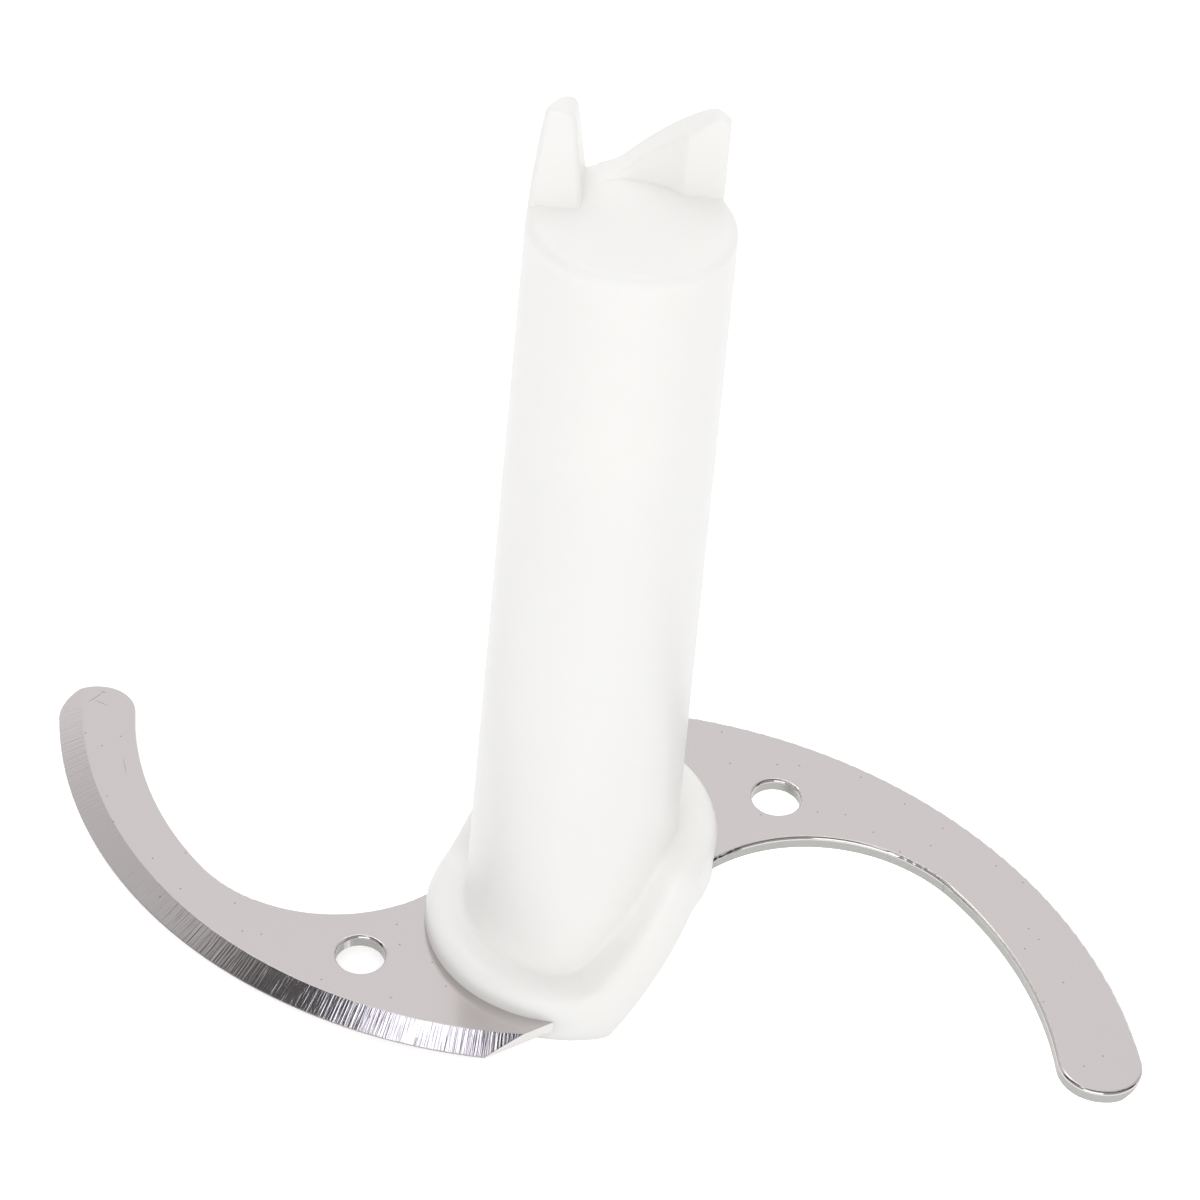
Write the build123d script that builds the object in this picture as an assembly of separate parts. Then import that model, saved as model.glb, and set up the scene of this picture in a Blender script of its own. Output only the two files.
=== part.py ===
from build123d import *
import math
import os

# Food processor S-blade: a moulded plastic hub with two crescent steel blades set into its flange

# Steel blades, both cut to one plan, the upper one turned half a turn about the hub
blade_thickness = 2.0
blade_step = 20.0
edge_radius = 80.2
edge_centre_x = -8.7
edge_centre_y = 50.7
spine_radius = 62.8
spine_tip_angle = 182.1
throat_radius = 26.1
throat_start_angle = 221.8
tip_reach = 44.6
tip_width = 13.15
tip_corner_radius = 6.2
heel_start_angle = 268.9
heel_line_angle = 35.3
heel_length = 15.5
root_radius = 14.2
bevel_width = 3.9
edge_land = 0.25
hole_radius = 3.9
hole_offset = 9.4
hole_angle = 284.0
stamped_edge_radius = 0.5

# Hub tube, drafted, closed at the top and open below for the motor shaft's sleeve
tube_top_radius = 14.68
tube_draft = 0.7
floor_height = 140.5
floor_rim_radius = 1.6
bore_radius = 11.5
bore_depth = 104.0
socket_radius = 7.5
socket_flat = 5.6
socket_depth = 26.0

# Flange round the blades' roots: a low half and a high half joined by a ramp
flange_radius = 22.4
plastic_under_blade = 2.0
plastic_over_blade = 4.5
ramp_azimuth = 38.0
ramp_angle = 53.3
ramp_top_start = -8.7
ramp_bottom_start = -6.1
ramp_top_bend_radius = 4.5
ramp_bottom_bend_radius = 1.5
rim_radius = 2.88
rim_width_share = 0.6
tube_foot_fillet = 1.0

# Two grip ears that stand on the closed top, flush with the tube's outside
ear_height = 13.0
ear_sink = 3.0
ear_wall = 5.2
ear_edge_fillet = 0.8
ramp_ear_start_angle = 103.0
ramp_ear_end_angle = 28.0
ramp_ear_slope = 45.0
ramp_ear_foot_radius = 5.0
ramp_ear_crest_radius = 2.0
finger_depth = 7.5
finger_inner_draft = 8.3
finger_outer_lean = 14.4
finger_top_inset = 0.8
finger_top_radius = 2.4
finger_foot = 1.0
finger_slope = 72.0

# Helpers for building, not sizes of the part
match = 0.05
lower_blade_base = plastic_under_blade
upper_blade_base = lower_blade_base + blade_step
hub_height = floor_height + ear_height
tube_base_radius = tube_top_radius + floor_height * math.tan(math.radians(tube_draft))
rim_outer_fillet = min(rim_radius, rim_width_share * (flange_radius - tube_base_radius))
ear_base = floor_height - ear_sink
reach = 2 * flange_radius
edge_centre = (edge_centre_x, edge_centre_y)
on_base = (Align.CENTER, Align.CENTER, Align.MIN)


def polar(centre, radius, angle):
    """The point at an angle, in degrees, on a circle."""
    turn = math.radians(angle)
    return (centre[0] + radius * math.cos(turn), centre[1] + radius * math.sin(turn))


def edge_tip():
    """Where the cutting edge's circle reaches the blade's end."""
    return (edge_centre_x - math.sqrt(edge_radius ** 2 - (edge_centre_y - tip_reach) ** 2), tip_reach)


def spine_circle_centre():
    spine_tip = (edge_tip()[0] + tip_width, tip_reach)
    return polar(spine_tip, -spine_radius, spine_tip_angle)


def throat_circle_centre():
    return polar(spine_circle_centre(), spine_radius - throat_radius, throat_start_angle)


def blade_plan():
    """The crescent with its root, which wraps the bore inside the flange."""
    edge_tip_angle = 180 + math.degrees(math.asin((edge_centre_y - tip_reach) / edge_radius))
    edge = CenterArc(edge_centre, edge_radius, edge_tip_angle, heel_start_angle - edge_tip_angle)
    spine_centre = spine_circle_centre()
    throat_centre = throat_circle_centre()
    throat_azimuth = math.degrees(math.atan2(throat_centre[1], throat_centre[0]))
    spine = CenterArc(spine_centre, spine_radius, spine_tip_angle, throat_start_angle - spine_tip_angle)
    throat_turn = throat_azimuth + 180 - throat_start_angle
    throat = CenterArc(throat_centre, throat_radius, throat_start_angle, throat_turn)
    heel = Line(edge @ 1, polar(tuple(edge @ 1), heel_length, heel_line_angle))
    heel_azimuth = math.degrees(math.atan2((heel @ 1).Y, (heel @ 1).X)) + 360
    root = CenterArc((0, 0), root_radius, throat_azimuth, heel_azimuth - throat_azimuth)
    tip = Line(edge @ 0, spine @ 0)
    throat_end = Line(throat @ 1, root @ 0)
    heel_end = Line(heel @ 1, root @ 1)
    plan = make_face([edge, tip, spine, throat, throat_end, root, heel_end, heel])
    return fillet(plan.vertices().sort_by(Axis.Y)[-2:], tip_corner_radius)


def stamped_blade():
    """The flat blade with its punched hole and the rolled upper edge that the die leaves."""
    hole_centre = polar(throat_circle_centre(), throat_radius + hole_offset, hole_angle)
    hole = Pos(*hole_centre) * Circle(hole_radius)
    blank = extrude(blade_plan() - hole, blade_thickness)
    upper_arcs = blank.edges().group_by(Axis.Z)[-1].filter_by(GeomType.CIRCLE)
    rolled_radii = (spine_radius, throat_radius, hole_radius)
    rolled = [e for e in upper_arcs if min(abs(e.radius - r) for r in rolled_radii) < match]
    return fillet(rolled, stamped_edge_radius)


def ground_bevel(on_top):
    """The ring that the grinding wheel takes off along the cutting edge, on one face."""
    past = 1.0
    fall = (blade_thickness - edge_land) / bevel_width
    face = blade_thickness if on_top else 0
    down = -1 if on_top else 1
    inner = (edge_radius - bevel_width, face)
    outer = (edge_radius + past, face)
    ground = (edge_radius + past, face + down * fall * (bevel_width + past))
    section = make_face(Polyline(inner, outer, ground, inner))
    return Pos(*edge_centre) * revolve(Plane.XZ * section, Axis.Z)


def ramp_run():
    return blade_step / math.tan(math.radians(ramp_angle))


def stepped_line(low, start):
    """A flange face seen side on: a low level, a ramp and a high level."""
    high = low + blade_step
    return [(-reach, low), (start, low), (start + ramp_run(), high), (reach, high)]


def stepped_slab(upper_line, lower_line):
    """The solid between two lines drawn along the ramp's direction, run straight across the hub."""
    face = make_face(Polyline(*upper_line, *reversed(lower_line), close=True))
    for line, radius in ((upper_line, ramp_top_bend_radius), (lower_line, ramp_bottom_bend_radius)):
        bends = [face.vertices().sort_by_distance(corner)[0] for corner in line[1:3]]
        face = fillet(bends, radius)
    return extrude(ramp_plane() * face, reach, both=True)


def ramp_plane():
    """A vertical plane whose X runs up the ramp and whose Y is height."""
    turn = math.radians(ramp_azimuth)
    x_dir = (math.cos(turn), math.sin(turn), 0)
    return Plane(origin=(0, 0, 0), x_dir=x_dir, z_dir=(math.sin(turn), -math.cos(turn), 0))


def flange_top():
    return lower_blade_base + blade_thickness + plastic_over_blade


def on_upper_face(edge, radius):
    """True for an edge of the flange's upper face that lies on a circle about the axis."""
    middle = edge @ 0.5
    turn = math.radians(ramp_azimuth)
    along = middle.X * math.cos(turn) + middle.Y * math.sin(turn)
    rise = (along - ramp_top_start) * math.tan(math.radians(ramp_angle))
    height = flange_top() + min(max(rise, 0), blade_step)
    near_top = abs(middle.Z - height) < plastic_under_blade
    return near_top and abs(math.hypot(middle.X, middle.Y) - radius) < tube_foot_fillet / 2


def flange():
    """The moulded flange, whose upper edge is a broad round."""
    disc = Cylinder(flange_radius, blade_step + 2 * flange_top(), align=on_base)
    upper_line = stepped_line(flange_top(), ramp_top_start)
    body = stepped_slab(upper_line, stepped_line(0, ramp_bottom_start)) & disc
    return fillet([e for e in body.edges() if on_upper_face(e, flange_radius)], rim_outer_fillet)


def tube_on_flange():
    """The tube standing on the flange, with a cove where they meet."""
    body = flange() + tube()
    foot_radius = tube_radius(flange_top() + blade_step / 2)
    return fillet([e for e in body.edges() if on_upper_face(e, foot_radius)], tube_foot_fillet)


def tube_radius(height):
    return tube_base_radius - height * math.tan(math.radians(tube_draft))


def tube():
    """The drafted outside of the tube, closed at the top, with a rounded rim."""
    body = Cone(tube_base_radius, tube_radius(floor_height), floor_height, align=on_base)
    return fillet(body.edges().group_by(Axis.Z)[-1], floor_rim_radius)


def ear_stock():
    """The tube's outside carried up past its closed top, from which the ears are cut."""
    height = hub_height - ear_base
    return Pos(0, 0, ear_base) * Cone(tube_radius(ear_base), tube_radius(hub_height), height, align=on_base)


def rounded_ear(ear):
    """An ear with all its edges rounded apart from those at its foot."""
    return fillet([e for e in ear.edges() if (e @ 0.5).Z > ear_base + match], ear_edge_fillet)


def ramp_ear():
    """The broad ear, part of a wall: its crest climbs to the right and its end face looks to the front."""
    radius = tube_radius(floor_height)
    foot = radius * math.cos(math.radians(ramp_ear_start_angle))
    face = radius * math.sin(math.radians(ramp_ear_end_angle))
    crest = foot + ear_height / math.tan(math.radians(ramp_ear_slope))
    start = foot - ramp_ear_foot_radius / 2
    line = [(start, ear_base), (start, floor_height), (foot, floor_height), (crest, hub_height)]
    outline = make_face(Polyline(*line, (reach, hub_height), (reach, ear_base), close=True))
    outline = fillet(outline.vertices().sort_by_distance((foot, floor_height))[:1], ramp_ear_foot_radius)
    outline = fillet(outline.vertices().sort_by_distance((crest, hub_height))[:1], ramp_ear_crest_radius)
    slab = Pos(0, face, 0) * extrude(Plane.XZ * outline, -reach)
    inside = Pos(0, 0, ear_base) * Cylinder(radius - ear_wall, hub_height, align=on_base)
    return rounded_ear((ear_stock() - inside) & slab)


def finger_ear():
    """The narrow ear: a rounded finger with a steep flank to the front and a flat face to the right."""
    radius = tube_radius(floor_height)
    inner_foot = finger_depth - radius
    inner_top = inner_foot - ear_height * math.tan(math.radians(finger_inner_draft))
    outer_top = finger_top_inset - radius
    outer_foot = outer_top - ear_height * math.tan(math.radians(finger_outer_lean))
    outer_line = [(outer_foot, ear_base), (outer_foot, floor_height), (outer_top, hub_height)]
    inner_line = [(inner_top, hub_height), (inner_foot, floor_height), (inner_foot, ear_base)]
    outline = make_face(Polyline(*outer_line, *inner_line, close=True))
    tops = outline.vertices().group_by(Axis.Y)[-1]
    slab = extrude(Plane.XZ * fillet(tops, finger_top_radius), reach, both=True)
    flank_run = ear_height / math.tan(math.radians(finger_slope))
    sunk_run = ear_sink / math.tan(math.radians(finger_slope))
    flank = [(finger_foot - sunk_run, ear_base), (finger_foot + flank_run, hub_height)]
    side = make_face(Polyline(*flank, (reach, hub_height), (reach, ear_base), close=True))
    return rounded_ear(ear_stock() & slab & extrude(Plane.YZ * side, -reach))


def shaft_bore():
    """The bore for the shaft's sleeve and, above it, the two-flat socket that the shaft drives."""
    sleeve = Cylinder(bore_radius, bore_depth, align=on_base)
    flats = Box(2 * socket_radius, 2 * socket_flat, socket_depth, align=on_base)
    socket = Cylinder(socket_radius, socket_depth, align=on_base) & flats
    return sleeve + Pos(0, 0, bore_depth) * socket


lower_blade = Pos(0, 0, lower_blade_base) * (stamped_blade() - ground_bevel(True))
upper_blade = Pos(0, 0, upper_blade_base) * Rot(0, 0, 180) * (stamped_blade() - ground_bevel(False))
hub = tube_on_flange() + ramp_ear() + finger_ear()
hub = hub - shaft_bore() - lower_blade - upper_blade
os.makedirs("parts", exist_ok=True)
for name, solid in (("hub", hub), ("lower_blade", lower_blade), ("upper_blade", upper_blade)):
    solid.label = name
    export_step(solid, os.path.join("parts", name + ".step"))
    print(name, solid.is_valid, round(solid.volume), solid.bounding_box())
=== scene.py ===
import math

import bpy
from mathutils import Matrix, Vector

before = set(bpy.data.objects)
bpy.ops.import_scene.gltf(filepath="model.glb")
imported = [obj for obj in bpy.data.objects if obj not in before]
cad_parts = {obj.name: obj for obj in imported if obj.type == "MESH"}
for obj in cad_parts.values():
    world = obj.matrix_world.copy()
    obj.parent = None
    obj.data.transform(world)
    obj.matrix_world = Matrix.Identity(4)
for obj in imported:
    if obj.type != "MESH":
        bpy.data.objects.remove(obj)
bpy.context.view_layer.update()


# Hub: one white plastic moulding with a long drafted tube, a stepped flange and two grip ears.
# It is injection-moulded polypropylene from a polished mould, so it has a soft satin gloss,
# lets a little light in under its skin, and shows only faint flow waves.
def linear_colour(hex_code):
    """An sRGB hex code as the linear colour that a shader wants."""
    channels = [int(hex_code[i:i + 2], 16) / 255 for i in (1, 3, 5)]
    return [c / 12.92 if c <= 0.04045 else ((c + 0.055) / 1.055) ** 2.4 for c in channels] + [1.0]


def add_node(tree, kind, settings=None, values=None, links=None):
    """Adds one shader node, with its settings, its sockets' values and the links into it."""
    node = tree.nodes.new(kind)
    for name, value in (settings or {}).items():
        setattr(node, name, value)
    for socket, value in (values or {}).items():
        node.inputs[socket].default_value = value
    for socket, source in (links or {}).items():
        tree.links.new(source, node.inputs[socket])
    return node


def new_material(name):
    """A material, its node tree and the principled shader in it."""
    material = bpy.data.materials.new(name)
    material.use_nodes = True
    return material, material.node_tree, material.node_tree.nodes["Principled BSDF"]


moulded_whites = ("#F4F3F1", "#F8F7F4")
satin_roughness = 0.38
polypropylene_ior = 1.49
under_skin_share = 0.2
under_skin_depth_mm = (4.0, 3.6, 3.2)
flow_wave_mm = 16.0
flow_wave_depth_mm = 0.03
# The mould's own grain is finer than this, and is drawn coarser so that it shows.
skin_grain_mm = 0.7
skin_grain_depth_mm = 0.004
moulded, tree, shader = new_material("satin_moulded_polypropylene")
shader.inputs["Roughness"].default_value = satin_roughness
shader.inputs["IOR"].default_value = polypropylene_ior
shader.inputs["Subsurface Weight"].default_value = under_skin_share
shader.inputs["Subsurface Radius"].default_value = [depth / 1000 for depth in under_skin_depth_mm]
shader.inputs["Subsurface Scale"].default_value = 1.0
place = add_node(tree, "ShaderNodeTexCoord")
cloud = add_node(
    tree, "ShaderNodeTexNoise", values={"Scale": 1000 / (2 * flow_wave_mm), "Detail": 2.0},
    links={"Vector": place.outputs["Object"]})
white = add_node(
    tree, "ShaderNodeMix", {"data_type": "RGBA"},
    {"A": linear_colour(moulded_whites[0]), "B": linear_colour(moulded_whites[1])}, {0: cloud.outputs["Fac"]})
tree.links.new(white.outputs["Result"], shader.inputs["Base Color"])
waves = add_node(
    tree, "ShaderNodeTexNoise", values={"Scale": 1000 / flow_wave_mm, "Detail": 1.0},
    links={"Vector": place.outputs["Object"]})
grain = add_node(
    tree, "ShaderNodeTexNoise", values={"Scale": 1000 / skin_grain_mm, "Detail": 2.0},
    links={"Vector": place.outputs["Object"]})
ripple = add_node(
    tree, "ShaderNodeBump", values={"Distance": flow_wave_depth_mm / 1000},
    links={"Height": waves.outputs["Fac"]})
skin = add_node(
    tree, "ShaderNodeBump", values={"Distance": skin_grain_depth_mm / 1000},
    links={"Height": grain.outputs["Fac"], "Normal": ripple.outputs["Normal"]})
tree.links.new(skin.outputs["Normal"], shader.inputs["Normal"])
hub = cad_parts["hub"]
hub.data.materials.clear()
hub.data.materials.append(moulded)


# Blades: two crescents stamped from 2 mm stainless sheet and set into the flange when it is moulded.
# Their faces are polished. A wheel has ground the bevel along the outer edge, on the lower blade's
# top and the upper blade's underside, and left lines across it; the punched walls are matt.
polished_colour = "#CCC6C6"
punched_colour = "#A5A6A2"
# A painted highlight: the heel face is coloured brighter than the polished faces, where light catches it.
painted_heel_highlight = "#D9D6D5"
scratch_colour = "#8F8583"
speck_colour = "#7E7674"
polished_roughness = (0.05, 0.09)
added_wall_roughness = 0.3
added_bevel_roughness = 0.08
added_face_roughness = 0.1
polish_mark_mm = 0.9
edge_break_mm = 0.14
edge_radius_mm = 80.2
edge_centre_mm = (-8.7, 50.7)
# Each way that a face can lie is told from the upright part of its normal, or, for the heel's painted
# highlight, from the heel's own normal.
bevel_slope = 0.914
bevel_slope_spread = 0.025
face_slopes = (0.95, 0.99)
wall_slopes = (0.08, 0.03)
heel_facing = (0.578, -0.816, 0.0)
heel_match = (0.985, 0.995)
# The wheel's finest lines are closer than these, which are the widths that show.
grind_line_mm = 0.42
fine_line_mm = 0.16
fine_line_share = 0.35
line_stretch = 24
grind_depth_mm = 0.034
speck_gap_mm = 8.0
speck_radius_mm = 0.17
speck_strength = 0.7
tip_scratches_mm = (((-82.5, 40.8), (-79.7, 39.6), 0.13), ((-83.5, 39.8), (-81.0, 43.1), 0.15),
                    ((-81.7, 43.0), (-80.7, 42.8), 0.22), ((-75.5, 27.7), (-74.1, 23.2), 0.10))


def scratch_mask(tree, place, start, end, width):
    """A mask of 1 along one fine scratch, in millimetres on the blade's plan, that fades at its sides."""
    run = Vector(end) - Vector(start)
    turned = Matrix.Rotation(-math.atan2(run.y, run.x), 2)
    middle = (Vector(start) + Vector(end)) / 2000
    from_middle = add_node(
        tree, "ShaderNodeVectorMath", {"operation": "SUBTRACT"}, {1: (middle.x, middle.y, 0.0)},
        {0: place.outputs["Object"]})
    shares = []
    for row, half in zip(turned, (run.length / 2000, width / 2000)):
        offset = add_node(
            tree, "ShaderNodeVectorMath", {"operation": "DOT_PRODUCT"}, {1: list(row) + [0.0]},
            {0: from_middle.outputs[0]})
        size = add_node(tree, "ShaderNodeMath", {"operation": "ABSOLUTE"}, links={0: offset.outputs["Value"]})
        shares.append(add_node(
            tree, "ShaderNodeMapRange", values={"From Min": half, "From Max": 0.3 * half},
            links={"Value": size.outputs[0]}))
    return add_node(
        tree, "ShaderNodeMath", {"operation": "MULTIPLY"},
        links={0: shares[0].outputs["Result"], 1: shares[1].outputs["Result"]})


def wear_and_painted_highlight_colour(tree, place, face, wall, turn, scratches):
    """The steel's colour: greyer on punched walls, a painted highlight on the heel, scratches and specks."""
    heel_way = add_node(
        tree, "ShaderNodeVectorMath", {"operation": "DOT_PRODUCT"}, {1: [turn * c for c in heel_facing]},
        {0: face.outputs["True Normal"]})
    # Painted highlight: faces turned the heel's way get the brighter heel colour.
    heel_highlight_mask = add_node(
        tree, "ShaderNodeMapRange", values={"From Min": heel_match[0], "From Max": heel_match[1]},
        links={"Value": heel_way.outputs["Value"]})
    pits = add_node(
        tree, "ShaderNodeTexVoronoi", {"voronoi_dimensions": "2D"}, {"Scale": 1000 / speck_gap_mm},
        {"Vector": place.outputs["Object"]})
    speck_share = speck_radius_mm / speck_gap_mm
    speck = add_node(
        tree, "ShaderNodeMapRange",
        values={"From Min": speck_share, "From Max": 0.5 * speck_share, "To Max": speck_strength},
        links={"Value": pits.outputs["Distance"]})
    layers = [(wall.outputs["Result"], punched_colour), (heel_highlight_mask.outputs["Result"], painted_heel_highlight)]
    for start, end, width in scratches:
        layers.append((scratch_mask(tree, place, start, end, width).outputs[0], scratch_colour))
    layers.append((speck.outputs["Result"], speck_colour))
    beneath = {}
    for mask, hex_code in layers:
        layer = add_node(
            tree, "ShaderNodeMix", {"data_type": "RGBA"},
            {"A": linear_colour(polished_colour), "B": linear_colour(hex_code)}, {0: mask, **beneath})
        beneath = {"A": layer.outputs["Result"]}
    return beneath["A"]


def ground_lines(tree, place, turn):
    """The height of the lines that the wheel left, which run straight out from the edge arc's centre."""
    centre = [turn * c / 1000 for c in edge_centre_mm] + [0.0]
    arm = add_node(
        tree, "ShaderNodeVectorMath", {"operation": "SUBTRACT"}, {1: centre}, {0: place.outputs["Object"]})
    part = add_node(tree, "ShaderNodeSeparateXYZ", links={0: arm.outputs[0]})
    side = [add_node(tree, "ShaderNodeMath", {"operation": "MULTIPLY"}, {1: turn}, {0: part.outputs[i]})
            for i in (0, 1)]
    angle = add_node(
        tree, "ShaderNodeMath", {"operation": "ARCTAN2"},
        links={0: side[0].outputs[0], 1: side[1].outputs[0]})
    along = add_node(
        tree, "ShaderNodeMath", {"operation": "MULTIPLY"}, {1: edge_radius_mm / 1000}, {0: angle.outputs[0]})
    out = add_node(tree, "ShaderNodeVectorMath", {"operation": "LENGTH"}, links={0: arm.outputs[0]})
    line_place = add_node(
        tree, "ShaderNodeCombineXYZ", links={0: along.outputs[0], 1: out.outputs["Value"]})
    heights = []
    for line_mm, detail in ((grind_line_mm, 1.5), (fine_line_mm, 1.0)):
        squash = add_node(
            tree, "ShaderNodeVectorMath", {"operation": "MULTIPLY"},
            {1: (1000 / line_mm, 1000 / (line_stretch * line_mm), 1.0)}, {0: line_place.outputs[0]})
        heights.append(add_node(
            tree, "ShaderNodeTexNoise", values={"Scale": 1.0, "Detail": detail},
            links={"Vector": squash.outputs[0]}).outputs["Fac"])
    coarse, fine = heights
    return add_node(
        tree, "ShaderNodeMath", {"operation": "MULTIPLY_ADD"}, {1: fine_line_share}, {0: fine, 2: coarse})


def blade_steel(name, turn, scratches):
    """Polished stainless sheet with a ground bevel, for a blade at a turn of 1 or -1 about the hub."""
    material, tree, shader = new_material(name)
    shader.inputs["Metallic"].default_value = 1.0
    place = add_node(tree, "ShaderNodeTexCoord")
    face = add_node(tree, "ShaderNodeNewGeometry")
    normal = add_node(tree, "ShaderNodeSeparateXYZ", links={0: face.outputs["True Normal"]})
    upright = add_node(tree, "ShaderNodeMath", {"operation": "ABSOLUTE"}, links={0: normal.outputs[2]})
    flat, wall = [add_node(
        tree, "ShaderNodeMapRange", values={"From Min": first, "From Max": last},
        links={"Value": upright.outputs[0]}) for first, last in (face_slopes, wall_slopes)]
    at_bevel = add_node(
        tree, "ShaderNodeMath", {"operation": "COMPARE"}, {1: bevel_slope, 2: bevel_slope_spread},
        {0: upright.outputs[0]})
    colour = wear_and_painted_highlight_colour(tree, place, face, wall, turn, scratches)
    tree.links.new(colour, shader.inputs["Base Color"])
    lines = ground_lines(tree, place, turn)
    ground = add_node(
        tree, "ShaderNodeMath", {"operation": "MULTIPLY"},
        links={0: lines.outputs[0], 1: at_bevel.outputs[0]})
    broken_edge = add_node(
        tree, "ShaderNodeBevel", {"samples": 8}, {"Radius": edge_break_mm / 1000})
    bump = add_node(
        tree, "ShaderNodeBump", values={"Distance": grind_depth_mm / 1000},
        links={"Height": ground.outputs[0], "Normal": broken_edge.outputs["Normal"]})
    tree.links.new(bump.outputs["Normal"], shader.inputs["Normal"])
    smear = add_node(
        tree, "ShaderNodeTexNoise", values={"Scale": 1000 / polish_mark_mm, "Detail": 3.0},
        links={"Vector": place.outputs["Object"]})
    gloss = add_node(
        tree, "ShaderNodeMapRange", values={"To Min": polished_roughness[0], "To Max": polished_roughness[1]},
        links={"Value": smear.outputs["Fac"]})
    roughness = gloss.outputs["Result"]
    for mask, added in ((wall.outputs["Result"], added_wall_roughness),
                        (at_bevel.outputs[0], added_bevel_roughness),
                        (flat.outputs["Result"], added_face_roughness)):
        rougher = add_node(
            tree, "ShaderNodeMath", {"operation": "MULTIPLY_ADD"}, {1: added}, {0: mask, 2: roughness})
        roughness = rougher.outputs[0]
    tree.links.new(roughness, shader.inputs["Roughness"])
    return material


for name, turn, scratches in (("lower_blade", 1, tip_scratches_mm), ("upper_blade", -1, ())):
    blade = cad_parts[name]
    blade.data.materials.clear()
    blade.data.materials.append(blade_steel("polished_stainless_steel_" + name, turn, scratches))


# Studio: a plain white floor that runs out of sight, so that the object stands on white.
# It is matt paper, and takes the object's soft shadow.
floor_size_m = 12.0
paper_white = "#FFFFFF"
paper_lift = 0.45
floor_mesh = bpy.data.meshes.new("studio_floor")
half = floor_size_m / 2
floor_corners = [(-half, -half, 0), (half, -half, 0), (half, half, 0), (-half, half, 0)]
floor_mesh.from_pydata(floor_corners, [], [(0, 1, 2, 3)])
floor = bpy.data.objects.new("studio_floor", floor_mesh)
bpy.context.collection.objects.link(floor)
paper, tree, shader = new_material("white_paper_floor")
shader.inputs["Base Color"].default_value = linear_colour(paper_white)
shader.inputs["Roughness"].default_value = 1.0
shader.inputs["Specular IOR Level"].default_value = 0.0
seen = add_node(tree, "ShaderNodeLightPath")
seen_or_mirrored = add_node(
    tree, "ShaderNodeMath", {"operation": "MAXIMUM"},
    links={0: seen.outputs["Is Camera Ray"], 1: seen.outputs["Is Glossy Ray"]})
floor_lift = add_node(
    tree, "ShaderNodeMath", {"operation": "MULTIPLY"}, {1: paper_lift}, {0: seen_or_mirrored.outputs[0]})
shader.inputs["Emission Color"].default_value = linear_colour(paper_white)
tree.links.new(floor_lift.outputs[0], shader.inputs["Emission Strength"])
floor.data.materials.append(paper)


# Light: white paper stands behind the object and in front of it, and leaves a dark gap overhead.
# A large softbox lights it from the camera's side, and a small one and a strip hang above it.
# Each paper level is the depth of a direction, from -1 in front to 1 behind, and its brightness.
paper_levels = ((-1.0, 0.5), (-0.28, 0.45), (-0.16, 0.07), (0.085, 0.07), (0.125, 0.68), (0.4, 0.72),
                (0.55, 0.8), (0.63, 1.0))
world = bpy.data.worlds.new("studio_room")
bpy.context.scene.world = world
world.use_nodes = True
tree = world.node_tree
background = tree.nodes["Background"]
look = add_node(tree, "ShaderNodeTexCoord")
facing = add_node(tree, "ShaderNodeSeparateXYZ", links={0: look.outputs["Generated"]})
depth = add_node(
    tree, "ShaderNodeMapRange", values={"From Min": -1.0, "From Max": 1.0},
    links={"Value": facing.outputs[1]})
sheets = add_node(tree, "ShaderNodeValToRGB", links={0: depth.outputs["Result"]})
stops = sheets.color_ramp.elements
while len(stops) < len(paper_levels):
    stops.new(1.0)
for stop, (at, brightness) in zip(stops, paper_levels):
    stop.position = (at + 1) / 2
    stop.color = (brightness, brightness, brightness, 1.0)
ray = add_node(tree, "ShaderNodeLightPath")
level = add_node(
    tree, "ShaderNodeMath", {"operation": "MAXIMUM"},
    links={0: sheets.outputs["Color"], 1: ray.outputs["Is Camera Ray"]})
background.inputs["Color"].default_value = linear_colour(paper_white)
tree.links.new(level.outputs[0], background.inputs["Strength"])


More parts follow.
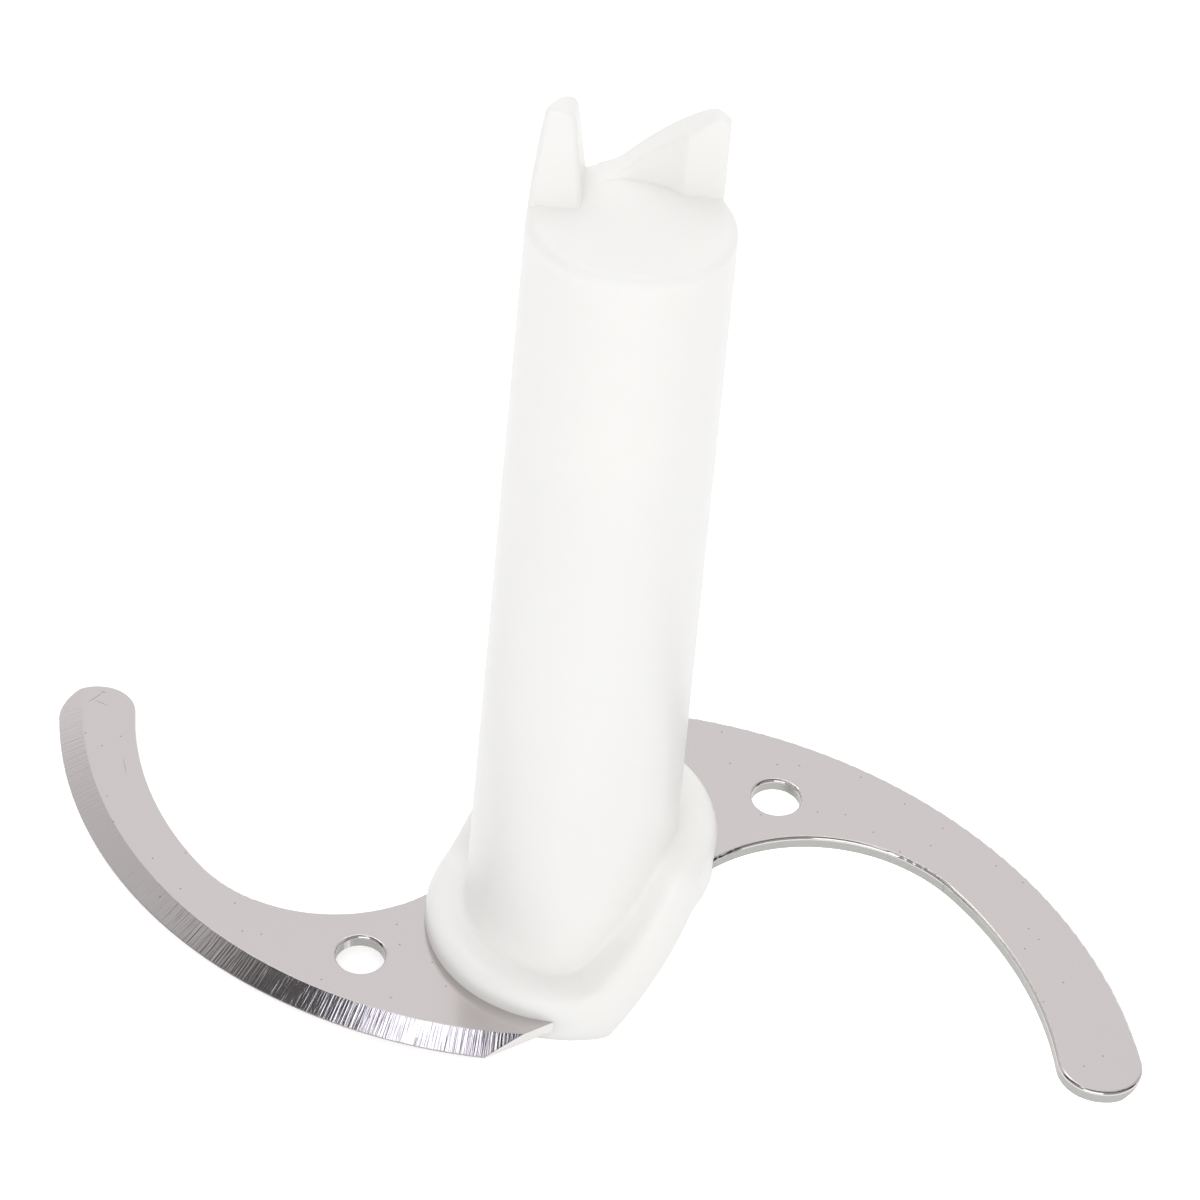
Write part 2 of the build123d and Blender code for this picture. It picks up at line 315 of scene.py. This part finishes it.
def softbox(name, stand, target, size, radiance, mirrored=True, colour="#FFFFFF"):
    """A rectangular lamp that faces a target, in metres; one that isn't mirrored only fills in."""
    data = bpy.data.lights.new(name, "AREA")
    data.shape = "RECTANGLE"
    data.size, data.size_y = size
    data.energy = 4 * radiance * size[0] * size[1]
    data.color = linear_colour(colour)[:3]
    lamp = bpy.data.objects.new(name, data)
    bpy.context.collection.objects.link(lamp)
    lamp.location = stand
    lamp.rotation_euler = (Vector(stand) - Vector(target)).to_track_quat("Z", "Y").to_euler()
    lamp.visible_glossy = mirrored


softbox("front_softbox", stand=(-0.25, -1.75, 0.9), target=(0, 0, 0.06), size=(1.5, 1.2), radiance=1.52)
softbox("top_softbox", stand=(-0.265, -0.16, 1.5), target=(-0.02, -0.03, 0), size=(0.17, 0.36), radiance=2.8,
        colour="#F0F2FF")
softbox("back_strip", stand=(-0.30, 0.72, 1.5), target=(0, 0, 0), size=(1.1, 0.2), radiance=2.0)
softbox("top_fill", stand=(0.0, -0.2, 2.2), target=(0, 0, 0.1), size=(2.2, 2.2), radiance=0.56,
        mirrored=False)
softbox("left_fill", stand=(-2.0, -0.4, 0.9), target=(0, 0, 0.08), size=(1.6, 1.6), radiance=0.22,
        mirrored=False)
softbox("right_fill", stand=(2.0, -0.4, 0.9), target=(0, 0, 0.08), size=(1.6, 1.6), radiance=0.72,
        mirrored=False)


# Camera: it stands where the photograph was taken from, at arm's length and some 40 degrees up.
# It has a long lens with no shift, and is rolled a little, as the photograph's hub leans.
camera_place_m = (0.0006, -0.4280, 0.4379)
camera_elevation_deg = 40.547
camera_roll_deg = 5.5845
lens_mm = 113.88
sensor_mm = 36.0
camera_data = bpy.data.cameras.new("photo_camera")
camera_data.sensor_fit = "HORIZONTAL"
camera_data.sensor_width = sensor_mm
camera_data.lens = lens_mm
camera_data.clip_start = 0.01
camera_data.clip_end = 50.0
camera = bpy.data.objects.new("photo_camera", camera_data)
bpy.context.collection.objects.link(camera)
tilt = Matrix.Rotation(math.radians(90 - camera_elevation_deg), 4, "X")
roll = Matrix.Rotation(math.radians(camera_roll_deg), 4, "Z")
camera.matrix_world = Matrix.Translation(camera_place_m) @ tilt @ roll
bpy.context.scene.camera = camera
bpy.context.scene.view_settings.view_transform = "Standard"
